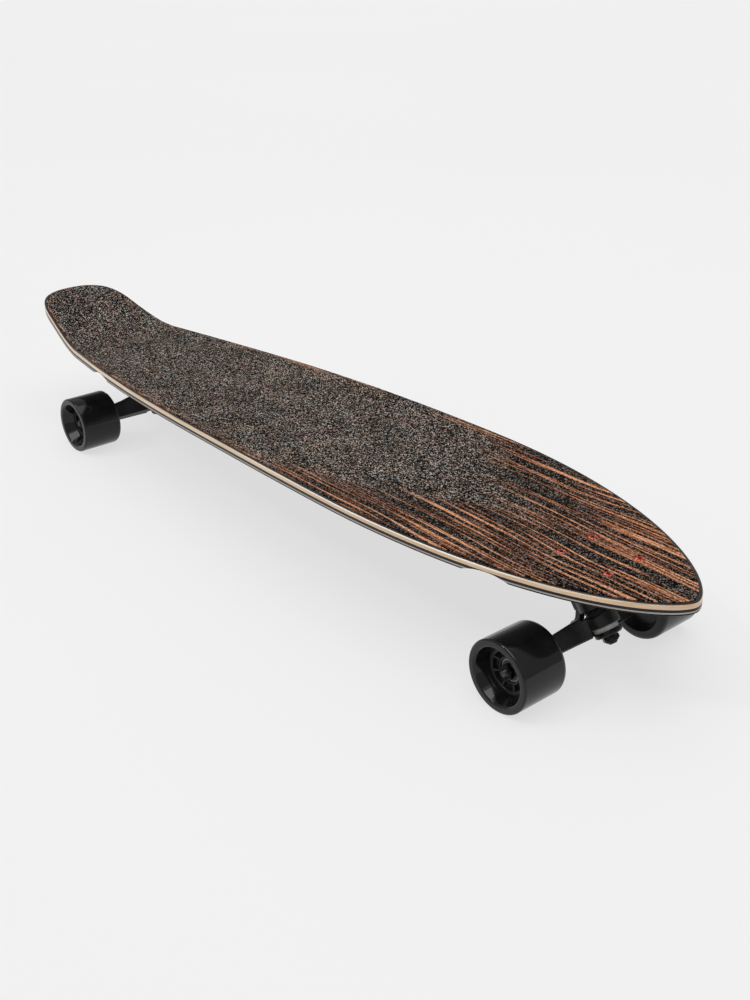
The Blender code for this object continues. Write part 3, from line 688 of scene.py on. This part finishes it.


# the second ply's material carries a painted highlight along the top of the maple edge
PLIES = (("veneer_top", 0.0, 0.5, "margin"), ("maple_light", 0.5, 1.75, "maple_light"), ("maple", 1.75, 4.9, "maple"), ("dark", 4.9, 7.6, "dyed"),
         ("pale", 7.6, 9.05, "pale"), ("veneer_bottom", 9.05, 10.5, "bottom"))
for number, (label, start, end_drop, mat) in enumerate(PLIES, 1):
    drops = sorted({start, end_drop, *[d for d in (0.0, 0.12, 0.3, 0.55, 0.9, 1.4, 9.9, 10.05, 10.25, 10.4, 10.5)
                                       if start < d < end_drop]})
    mesh = sheet_body(f"deck_{label}", [(edge_inset(d), d) for d in drops], 20)
    ply = add(f"deck_ply_{number}_{label}", mesh)
    cut(ply, holes)
    if end_drop > 5.0:
        cut(ply, wells)
    ply.data.materials.clear()
    ply.data.materials.append(M[mat])
    if label.startswith("veneer"):
        # a veneer's figure is on its face; its edge is end fibre
        ply.data.materials.append(M["margin"] if label == "veneer_top" else M["under"])
        for polygon in ply.data.polygons:
            face_out = polygon.normal.z > 0.97 if label == "veneer_top" else polygon.normal.z < -0.9
            polygon.material_index = 0 if face_out else 1
    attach(ply, "deck")
    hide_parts("deck")

top = add("grit_layer", sheet_body("grit_layer", [
    (GRIP_MARGIN + 0.5, -GAP - GRIP_THICK), (GRIP_MARGIN + 0.15, -GAP - GRIP_THICK + 0.12),
    (GRIP_MARGIN, -GAP - GRIP_THICK + 0.4), (GRIP_MARGIN, -0.02)], 40))
cut(top, wide)
top.data.materials.clear()
top.data.materials.append(M["grit"])
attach(top, "deck")
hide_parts("grip_tape")
for helper in (wells, holes, wide):
    bpy.data.objects.remove(helper, do_unlink=True)


# ---- fasteners ----
def hex_nut(name, across, bore, height, chamfer=0.7, collar=0.0):
    """Hex nut about Z with chamfered corners, and a round collar on top."""
    sides = 48
    corner = across / math.sqrt(3)

    def hexagon(limit):
        points = []
        for i in range(sides):
            a = math.tau * i / sides
            local = (a + math.pi / 6) % (math.pi / 3) - math.pi / 6
            points.append(min(across / 2 / math.cos(local - 0.0), limit))
        return points

    flat = across / 2
    levels = [([flat - 0.3] * sides, 0.0), (hexagon(flat + 0.15), 0.15), (hexagon(corner), chamfer),
              (hexagon(corner), height - chamfer), (hexagon(flat + 0.15), height - 0.15),
              ([flat - 0.3] * sides, height)]
    if collar:
        levels += [([flat - 0.8] * sides, height + 0.02), ([flat - 0.9] * sides, height + collar - 0.5),
                   ([flat - 1.5] * sides, height + collar)]
    top_z = height + collar
    levels += [([bore + 0.5] * sides, top_z), ([bore] * sides, top_z - 0.4), ([bore] * sides, 0.4),
               ([bore + 0.5] * sides, 0.0)]
    bm = bmesh.new()
    rows = [[bm.verts.new((r * MM * math.cos(math.tau * i / sides), r * MM * math.sin(math.tau * i / sides), z * MM))
             for i, r in enumerate(radii)] for radii, z in levels]
    for k in range(len(rows)):
        a, b = rows[k], rows[(k + 1) % len(rows)]
        for i in range(sides):
            j = (i + 1) % sides
            bm.faces.new((a[i], a[j], b[j], b[i]))
    return finish_mesh(bm, name, 24.0)


def thread(low, high, radius, pitch=1.0, depth=0.45):
    """Profile of a threaded length as (radius, height), low to high."""
    points, z = [], low
    while z + pitch <= high + 1e-6:
        points += [(radius - depth, z), (radius, z + pitch * 0.4), (radius, z + pitch * 0.6)]
        z += pitch
    return points + [(radius - depth, min(z, high))]


def socket_bolt(name, head, tail):
    """Countersunk bolt with a hex socket, standing on the Z axis."""
    sides = 36
    hexed = []
    for i in range(sides):
        a = math.tau * i / sides
        local = (a + math.pi / 6) % (math.pi / 3) - math.pi / 6
        hexed.append(1.65 / math.cos(local))
    threads = thread(tail + 0.8, tail + 15.0, BOLT_R, 1.0, 0.35)
    outer = [(BOLT_HEAD_R - 0.35, head), (BOLT_HEAD_R, head - 0.25), (BOLT_HEAD_R, head - 0.85),
             (BOLT_R, head - 3.1)]
    outer += list(reversed(threads)) + [(BOLT_R - 0.7, tail), (0, tail)]
    bm = bmesh.new()
    rows = [[bm.verts.new((0, 0, (head - 1.9) * MM))]]
    for gain, z in ((0.9, head - 1.8), (1.0, head - 1.6), (1.0, head - 0.12), (1.12, head)):
        rows.append([bm.verts.new((hexed[i] * gain * MM * math.cos(math.tau * i / sides),
                                   hexed[i] * gain * MM * math.sin(math.tau * i / sides), z * MM))
                     for i in range(sides)])
    for r, z in outer:
        rows.append([bm.verts.new((0, 0, z * MM))] if r < 1e-6 else
                    [bm.verts.new(p) for p in ring_points(r, z, sides)])
    for a, b in zip(rows, rows[1:]):
        for i in range(sides):
            j = (i + 1) % sides
            quad = []
            for v in (a[i % len(a)], a[j % len(a)], b[j % len(b)], b[i % len(b)]):
                if v not in quad:
                    quad.append(v)
            if len(quad) > 2:
                bm.faces.new(quad)
    return finish_mesh(bm, name, 28.0)


def softened(node, mat, width, segments=3):
    """Keeps a CAD node, with its edges eased and a better surface."""
    obj = NODES[node]
    obj.data.materials.clear()
    obj.data.materials.append(mat)
    weld = obj.modifiers.new("weld", "WELD")
    weld.merge_threshold = 0.00001
    ease = obj.modifiers.new("ease", "BEVEL")
    ease.width = width * MM
    ease.segments = segments
    ease.limit_method = "ANGLE"
    ease.angle_limit = math.radians(28)
    ease.use_clamp_overlap = True
    ease.harden_normals = False
    normal = obj.modifiers.new("normal", "WEIGHTED_NORMAL")
    normal.keep_sharp = False


for end, axle_x, out in TRUCKS:
    root = shift(axle_x, 0, WHEEL_R) @ (Matrix.Identity(4) if out > 0 else Matrix.Rotation(math.pi, 4, "Z"))
    king = root @ Matrix.Rotation(-math.radians(KINGPIN_TILT), 4, "Y")
    on_pin = king @ shift(KINGPIN_P, 0, 0)
    tilt = math.radians(STEER_TILT)
    pivot = root @ shift(-RAKE * math.sin(tilt), 0, RAKE * math.cos(tilt)) @ Matrix.Rotation(-tilt, 4, "Y")
    hanger = f"{end}_hanger"

    softened(f"hanger_{end}", M["truck"], 0.7)
    softened(f"baseplate_{end}", M["truck"], 0.6)
    softened(f"riser_{end}", M["riser"], 0.3, 2)

    pin = turned([(0, -19.0), (3.4, -19.0), (4.2, -18.3)] + thread(-18.0, -10.0, KINGPIN_R, 1.1, 0.5)
                 + [(KINGPIN_R, -9.4), (KINGPIN_R, 16.2), (5.5, 16.6), (5.5, 35.4), (4.8, 36.1), (0, 36.1)], 48)
    piece(f"kingpin_fine_{end}", finish_mesh(pin, "kingpin", 28), M["black_steel"], "deck",
          [f"kingpin_{end}"], on_pin)
    bore = KINGPIN_R + GAP
    road = turned(rounded([(bore, -8.2), (11.4, -8.2), (11.8, -7.4), (11.95, -4.2), (11.7, -2.0), (bore, -2.0)],
                          [0.2, 0.4, 0.5, 0.8, 0.5, 0.2], 4), 72)
    bushing(f"bushing_road_fine_{end}", finish_mesh(road, "bushing_road", 40), M["bushing"],
            f"bushing_road_{end}", on_pin)
    board = turned(rounded([(bore, 5.3), (11.6, 5.3), (12.2, 6.3), (12.4, 11.6), (12.0, 13.0), (bore, 13.0)],
                           [0.2, 0.5, 0.6, 0.8, 0.5, 0.2], 4), 72)
    bushing(f"bushing_board_fine_{end}", finish_mesh(board, "bushing_board", 40), M["bushing_black"],
            f"bushing_board_{end}", on_pin)
    cup = turned(rounded([(bore, -11.0), (11.6, -11.0), (13.0, -9.6), (13.1, -5.9), (12.4, -5.9), (12.3, -8.4),
                          (bore, -8.5)], [0.1, 1.2, 1.0, 0.3, 0.3, 0.4, 0.1], 4), 72)
    piece(f"washer_road_fine_{end}", finish_mesh(cup, "washer_road", 35), M["black_steel"], "deck",
          [f"washer_road_{end}"], on_pin)
    cup = turned(rounded([(bore, 13.4), (11.9, 13.4), (12.3, 13.3), (12.6, 13.5), (12.6, 14.7), (11.6, 15.6),
                          (bore, 15.6)], [0.1, 0.2, 0.1, 0.2, 0.5, 0.6, 0.1], 4), 72)
    piece(f"washer_board_fine_{end}", finish_mesh(cup, "washer_board", 35), M["black_steel"], "deck",
          [f"washer_board_{end}"], on_pin)
    # the collar of the lock nut points away from the washer
    nut = hex_nut("kingpin_nut_fine", 14.3, bore, 4.6, 0.8, 1.2)
    piece(f"kingpin_nut_fine_{end}", nut, M["black_steel"], "deck", [f"kingpin_nut_{end}"],
          on_pin @ shift(0, 0, -11.3) @ Matrix.Rotation(math.pi, 4, "X"))

    inner = NOSE_R + 0.35
    cup = turned(rounded([(inner, 6.7), (CUP_R, 6.7), (CUP_R, 14.2), (CUP_R - 0.7, 14.8), (0, 14.8), (0, 13.4),
                          (3.2, 13.1), (inner, 11.0)], [0.3, 0.4, 0.3, 0.3, 0, 0, 0.4, 0.5], 3), 48)
    piece(f"pivot_cup_fine_{end}", finish_mesh(cup, "pivot_cup", 40), M["cup"], "deck",
          [f"pivot_cup_{end}"], pivot @ Matrix.Rotation(-math.pi / 2, 4, "Y"))

    # axle with threaded ends, on the axis of the beam
    half = ([(0, -AXLE_END), (2.9, -AXLE_END), (3.4, -AXLE_END + 0.5)]
            + thread(-AXLE_END + 0.8, -99.0, AXLE_R, 1.0, 0.4) + [(AXLE_R, -98.2)])
    whole = half + [(r, -z) for r, z in reversed(half)]
    axle = finish_mesh(turned(whole, 40), "axle", 28)
    piece(f"axle_fine_{end}", axle, M["dark_steel"], hanger, [f"axle_{end}"],
          root @ Matrix.Rotation(-math.pi / 2, 4, "X"))
    for side, label in ((1, "left"), (-1, "right")):
        nut = hex_nut("axle_nut_fine", 13.0, AXLE_R + 0.05, 4.8, 0.7, 1.3)
        piece(f"axle_nut_fine_{end}_{label}", nut, M["black_steel"], hanger,
              [f"axle_nut_{end}_{label}"],
              shift(axle_x, 0, WHEEL_R) @ Matrix.Rotation(-side * math.pi / 2, 4, "X") @ shift(0, 0, AXLE_NUT[0]))

    red = end == "front"
    for number, (_, x, y) in enumerate([s for s in bolt_spots if s[0] == end], 1):
        head = top_height(x, y) + 0.75
        low = WHEEL_R + TRUCK_HEIGHT - PLATE_THICK
        bolt = socket_bolt(f"bolt_fine_{end}_{number}", head, low - 8.9)
        piece(f"bolt_fine_{end}_{number}", bolt, M["red"] if red else M["head"], "deck",
              [f"bolt_{end}_{number}"], shift(x, y))
        piece(f"bolt_nut_fine_{end}_{number}", hex_nut("bolt_nut_fine", 9.5, BOLT_R + 0.05, 3.7, 0.55, 1.3),
              M["black_steel"], "deck", [f"bolt_nut_{end}_{number}"],
              shift(x, y, low - GAP) @ Matrix.Rotation(math.pi, 4, "X"))


# ---- wheels ----
def tyre_mesh():
    points = [(WHEEL_R - 3.9, WHEEL_IN), (WHEEL_R - 1.2, WHEEL_IN + 1.1), (WHEEL_R, WHEEL_IN + 3.9),
              (WHEEL_R, WHEEL_OUT - 1.3), (WHEEL_R - 1.3, WHEEL_OUT), (28.6, WHEEL_OUT), (27.2, WHEEL_OUT - 1.2),
              (23.4, WHEEL_OUT - 10.4), (CORE_R + 0.12, WHEEL_OUT - 13.2), (CORE_R + 0.12, WHEEL_IN + 10.2),
              (26.0, WHEEL_IN)]
    radii = [0.8, 1.2, 1.4, 1.1, 1.1, 0.9, 0.9, 0.6, 0.2, 0.2, 0.8]
    return finish_mesh(turned(rounded(points, radii, 6), 160), "tyre", 50)


def core_mesh():
    """Outer ring, web, hub and eight tapered ribs of the moulded core."""
    bore = BEARING_R + 0.1
    points = [(CORE_R, BEARING_IN - 0.4), (CORE_R, 103.8), (19.0, 103.8), (18.4, 103.2), (17.7, 98.5), (13.9, 98.5),
              (13.4, 101.4), (bore, 101.4), (bore, BEARING_OUT - 0.1), (8.5, BEARING_OUT - 0.1),
              (8.5, BEARING_IN + BEARING_W + 0.1), (bore, BEARING_IN + BEARING_W + 0.1), (bore, BEARING_IN - 0.4)]
    radii = [0.3, 0.4, 0.4, 0.3, 0.5, 0.5, 0.4, 0.3, 0.1, 0.2, 0.2, 0.1, 0.3]
    parts = [(turned(rounded(points, radii, 4), 96), Matrix.Identity(4))]
    for k in range(8):
        rib = bmesh.new()
        rows = []
        for r, width, top_z in ((13.2, 1.5, 101.1), (15.5, 1.15, 101.3), (18.3, 1.7, 102.9)):
            rows.append([rib.verts.new((r * MM, s * w * MM, z * MM))
                         for s, w, z in ((-1, width, 98.0), (-1, width * 0.8, top_z - 0.35), (-1, width * 0.5, top_z),
                                         (1, width * 0.5, top_z), (1, width * 0.8, top_z - 0.35), (1, width, 98.0))])
        for a, b in zip(rows, rows[1:]):
            for i in range(6):
                j = (i + 1) % 6
                rib.faces.new((a[i], a[j], b[j], b[i]))
        rib.faces.new(rows[0])
        rib.faces.new(list(reversed(rows[-1])))
        parts.append((rib, Matrix.Rotation(math.tau * (k + 0.5) / 8, 4, "Z")))
    return joined("wheel_core", parts)


def race_mesh():
    """Both rings of a bearing, ground faces, with the shields' seats."""
    w = BEARING_W
    outer = rounded([(BEARING_R, 0), (BEARING_R, w), (9.5, w), (9.3, w - 0.45), (9.3, 0.45), (9.5, 0)], 0.25, 3)
    inner = rounded([(AXLE_R + 0.05, 0), (5.9, 0), (6.1, 0.45), (6.1, w - 0.45), (5.9, w), (AXLE_R + 0.05, w)], 0.2, 3)
    return joined("races", [(turned(outer, 64), Matrix.Identity(4)), (turned(inner, 64), Matrix.Identity(4))])


def shield_mesh():
    """Two dished seals between the rings."""
    w = BEARING_W
    low = rounded([(6.15, 0.25), (7.4, 0.15), (8.4, 0.28), (9.25, 0.25), (9.25, 0.6), (6.15, 0.6)], 0.08, 2)
    high = [(r, w - z) for r, z in low]
    return joined("shields", [(turned(low, 64), Matrix.Identity(4)), (turned(high, 64), Matrix.Identity(4))])


TYRE, CORE, RACES, SHIELDS = tyre_mesh(), core_mesh(), race_mesh(), shield_mesh()
SPACER = finish_mesh(turned(rounded([(AXLE_R + 0.05, 83.1), (5.6, 83.1), (5.6, 92.9), (AXLE_R + 0.05, 92.9)], 0.2, 2), 40), "spacer")
SPEED = finish_mesh(turned(rounded([(AXLE_R + 0.05, 0), (6.0, 0), (6.0, 0.8), (AXLE_R + 0.05, 0.8)], 0.15, 2), 48), "speed_ring")
for end, axle_x, out in TRUCKS:
    for side, label in ((1, "left"), (-1, "right")):
        body = f"{end}_{label}_wheel"
        hub = shift(axle_x, 0, WHEEL_R) @ Matrix.Rotation(-side * math.pi / 2, 4, "X")
        tag = f"{end}_{label}"
        piece(f"tyre_fine_{tag}", TYRE, M["urethane"], body, [f"tyre_{tag}"], hub)
        piece(f"core_fine_{tag}", CORE, M["core"], body, [f"wheel_core_{tag}"], hub)
        for which, start in (("inner", BEARING_IN), ("outer", BEARING_OUT)):
            piece(f"races_{which}_{tag}", RACES, M["bearing"], body,
                  [f"bearing_{which}_{tag}"], hub @ shift(0, 0, start))
            piece(f"shields_{which}_{tag}", SHIELDS, M["shield"], body, (), hub @ shift(0, 0, start))
        piece(f"spacer_{tag}", SPACER, M["steel"], body, (), hub)
        for which, at in (("inner", 75.1), ("outer", 100.1)):
            piece(f"speed_ring_{which}_{tag}", SPEED, M["steel"], body, (), hub @ shift(0, 0, at))

# ---- studio ----
bm = bmesh.new()
bmesh.ops.create_grid(bm, x_segments=2, y_segments=2, size=40.0)
ground = bpy.data.meshes.new("studio_floor")
bm.to_mesh(ground)
bm.free()
n = Nodes("studio_floor")
dust = n.noise(n.coords((0.8, 0.8, 0.8)), 1.0, 2.0)
floor = add("studio_floor", ground, n.set(color=n.mix(dust, (0.29, 0.29, 0.29), (0.31, 0.31, 0.31)), rough=0.9, spec=0.05))
# a lit table: most of the floor's light is its own, so shadows stay faint
n.shader.inputs["Emission Color"].default_value = (1.0, 1.0, 1.0, 1.0)
n.shader.inputs["Emission Strength"].default_value = 0.57

world = bpy.data.worlds.new("studio")
bpy.context.scene.world = world
world.use_nodes = True
world.node_tree.nodes["Background"].inputs["Color"].default_value = (1.0, 1.0, 1.0, 1.0)
world.node_tree.nodes["Background"].inputs["Strength"].default_value = 0.45


def sun(name, direction, strength, angle, shadow=True):
    lamp = bpy.data.lights.new(name, "SUN")
    lamp.energy = strength
    lamp.angle = math.radians(angle)
    lamp.use_shadow = shadow
    obj = bpy.data.objects.new(name, lamp)
    bpy.context.scene.collection.objects.link(obj)
    obj.rotation_mode = "QUATERNION"
    obj.rotation_quaternion = (-Vector(direction)).to_track_quat("-Z", "Y")
    return obj


def softbox(name, at, target, size, power):
    lamp = bpy.data.lights.new(name, "AREA")
    lamp.shape = "RECTANGLE"
    lamp.size, lamp.size_y = size
    lamp.energy = power
    obj = bpy.data.objects.new(name, lamp)
    bpy.context.scene.collection.objects.link(obj)
    obj.location = at
    obj.rotation_mode = "QUATERNION"
    obj.rotation_quaternion = (Vector(target) - Vector(at)).to_track_quat("-Z", "Y")
    return obj


sun("key", (0.10, -0.25, 1.0), 0.45, 60)
sun("fill", (0.10, -0.35, 1.0), 1.05, 40, shadow=False)
sun("edge_light", (-0.34, -0.57, 0.75), 0.30, 9)
sun("rim_light", (-0.74, 0.61, 0.28), 0.10, 6)
softbox("top_box", (0.2, 0.5, 1.9), (0.0, 0.0, 0.1), (1.6, 0.5), 3)

camera = bpy.data.cameras.new("camera")
camera.lens = 44.62
camera.sensor_width = 36.0
camera.sensor_fit = "AUTO"
camera.clip_start, camera.clip_end = 0.01, 200.0
eye = bpy.data.objects.new("camera", camera)
bpy.context.scene.collection.objects.link(eye)
turn = (Matrix.Rotation(0.8905, 3, "Z") @ Matrix.Rotation(-0.446, 3, "X") @ Matrix.Rotation(0.0247, 3, "Y"))
right, ahead, up = turn.col[0].copy(), turn.col[1].copy(), turn.col[2].copy()
pose = Matrix.Identity(4)
for row in range(3):
    pose[row][0], pose[row][1], pose[row][2] = right[row], up[row], -ahead[row]
pose.translation = Vector((1.06428, -0.75366, 0.63109))
eye.matrix_world = pose
bpy.context.scene.camera = eye
bpy.context.scene.view_settings.view_transform = "Standard"
bpy.context.scene.view_settings.look = "None"

bpy.context.view_layer.update()
